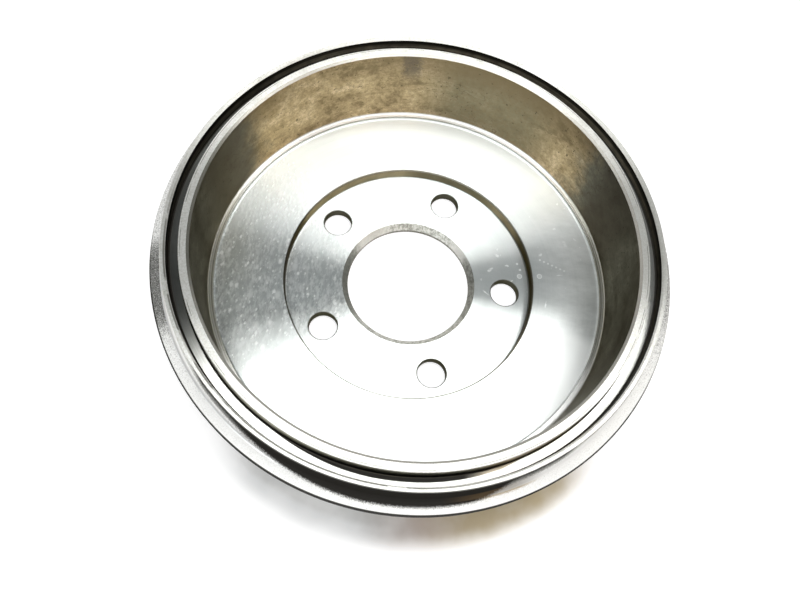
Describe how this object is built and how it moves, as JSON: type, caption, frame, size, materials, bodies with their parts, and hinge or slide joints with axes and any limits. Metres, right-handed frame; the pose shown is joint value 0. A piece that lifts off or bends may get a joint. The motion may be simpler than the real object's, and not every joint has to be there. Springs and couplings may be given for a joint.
{
  "type": "brake drum",
  "caption": "Cast iron brake drum, turned inside, with a labyrinth groove round its mouth, a recessed hub seat, a centre bore and stud holes.",
  "frame": {"origin": "centre of the wheel seat, the turned face on the drum's back, which is also the lowest face", "axes": "+Z along the drum's axis, from the wheel seat out through the open mouth; +X through the first stud hole"},
  "size_m": [0.2732, 0.2732, 0.0668],
  "materials": {
    "cast_iron": "turned bright inside, as cast outside"
  },
  "bodies": {
    "root": {"brake_drum": "cast_iron"}
  },
  "joints": []
}
